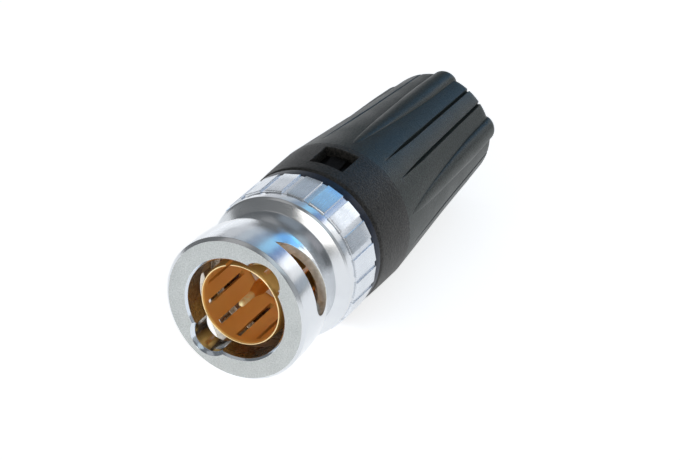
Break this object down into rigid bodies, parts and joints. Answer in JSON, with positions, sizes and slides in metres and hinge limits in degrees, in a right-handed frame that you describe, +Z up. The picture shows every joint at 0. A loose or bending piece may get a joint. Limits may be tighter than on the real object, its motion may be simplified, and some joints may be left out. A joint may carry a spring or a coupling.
{
  "type": "bnc cable plug",
  "caption": "Coaxial bayonet cable plug: slotted nickel coupling nut, faceted grip ring, plastic collar with latch windows and a long ribbed tapered boot that turns with the nut.",
  "frame": {"origin": "on the plug's axis, in the plane of the coupling nut's front face", "axes": "-Y out of the mating face, +Y along the axis to the cable end, +Z up, +X to the right when the mating face is looked at"},
  "size_m": [0.0148, 0.0423, 0.0148],
  "materials": {
    "nickel": "satin nickel plate, blasted on the front face",
    "plated_brass": "plated brass",
    "gold": "gold plate",
    "ring_plastic": "dark blue-black moulded plastic",
    "collar_plastic": "grainy brown-black moulded plastic",
    "latch_plastic": "black moulded plastic",
    "boot_plastic": "smooth matt dark grey-green moulded plastic",
    "insulator": "milky insulator plastic",
    "spring_steel": "bright spring steel",
    "gasket_rubber": "soft seal rubber"
  },
  "bodies": {
    "core": {"contact_body": "plated_brass", "outer_contact": "gold", "gasket": "gasket_rubber", "front_insulator": "insulator", "rear_insulator": "insulator", "centre_contact": "gold", "snap_ring": "spring_steel", "wave_washer_front": "spring_steel", "wave_washer_rear": "spring_steel", "crimp_ferrule": "plated_brass"},
    "slider": {"thrust_washer": "spring_steel"},
    "shell": {"coupling_nut": "nickel", "grip_ring": "nickel", "lip_ring": "ring_plastic", "collar": "collar_plastic", "latch_sleeve": "latch_plastic", "boot": "boot_plastic"}
  },
  "joints": [
    {"name": "nut_pull", "type": "slide", "parent": "core", "child": "slider", "axis": [0, -1, 0], "range_m": [0, 0.0008], "stiffness_N_per_m": 1500, "springref_m": -0.001, "deforming": ["wave_washer_front", "wave_washer_rear"]},
    {"name": "shell_turn", "type": "hinge", "parent": "slider", "child": "shell", "pos_m": [0, 0.0128, 0], "axis": [0, 1, 0], "continuous": true}
  ]
}
